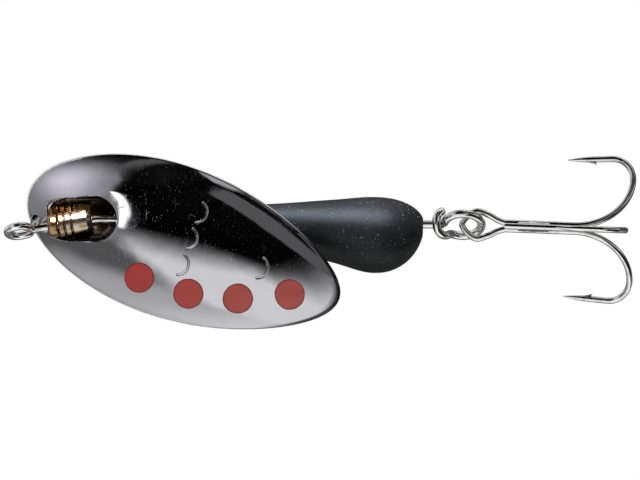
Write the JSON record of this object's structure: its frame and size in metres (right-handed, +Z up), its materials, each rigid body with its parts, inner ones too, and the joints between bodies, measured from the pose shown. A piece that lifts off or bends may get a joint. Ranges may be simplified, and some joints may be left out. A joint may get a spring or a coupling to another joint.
{
  "type": "inline spinner fishing lure",
  "caption": "Inline spinner lure: a domed oval blade turns on a wire shaft in front of an off-centre teardrop body, with a treble hook on a loop behind it.",
  "frame": {"origin": "centre of the line eye at the front end of the shaft wire", "axes": "+X along the straight rear part of the shaft, from the line eye towards the treble hook, +Z up, and -Y the way the blade's domed face looks at rest"},
  "size_m": [0.0608, 0.0135, 0.0172],
  "materials": {
    "bright_wire": "bright drawn stainless wire",
    "copper_tone_brass": "turned, copper-toned",
    "brass": "turned, lightly tarnished",
    "dark_nickel": "polished dark nickel plate, fine scratches",
    "red_enamel": "satin enamel paint",
    "black_paint": "satin black paint",
    "hook_nickel": "bright nickel plate",
    "braze": "plated braze"
  },
  "bodies": {
    "shaft": {"shaft_wire": "bright_wire"},
    "bead": {"front_bead": "copper_tone_brass"},
    "bearing": {"bearing_sleeve": "brass"},
    "spinner_blade": {"blade": "dark_nickel", "enamel_dots": "red_enamel"},
    "weight": {"body_weight": "black_paint"},
    "treble": {"treble_double_hook": "hook_nickel", "treble_single_hook": "hook_nickel", "treble_braze": "braze"}
  },
  "joints": [
    {"name": "front_bead_spin", "type": "hinge", "parent": "shaft", "child": "bead", "pos_m": [0.00324, 0, 0.00052], "axis": [0.9872, 0, 0.1595], "continuous": true},
    {"name": "bearing_spin", "type": "hinge", "parent": "shaft", "child": "bearing", "pos_m": [0.0054, 0, 0.00087], "axis": [0.9872, 0, 0.1595], "continuous": true},
    {"name": "blade_spin", "type": "hinge", "parent": "shaft", "child": "spinner_blade", "pos_m": [0.00755, 0, 0.00122], "axis": [0.9968, 0, 0.08], "continuous": true},
    {"name": "body_spin", "type": "hinge", "parent": "shaft", "child": "weight", "pos_m": [0.02, 0, 0.00122], "axis": [1, 0, 0], "continuous": true},
    {"name": "treble_swing", "type": "hinge", "parent": "shaft", "child": "treble", "pos_m": [0.04446, 0, 0.00122], "axis": [0, -0.866, 0.5], "range_deg": [-75, 75]}
  ]
}
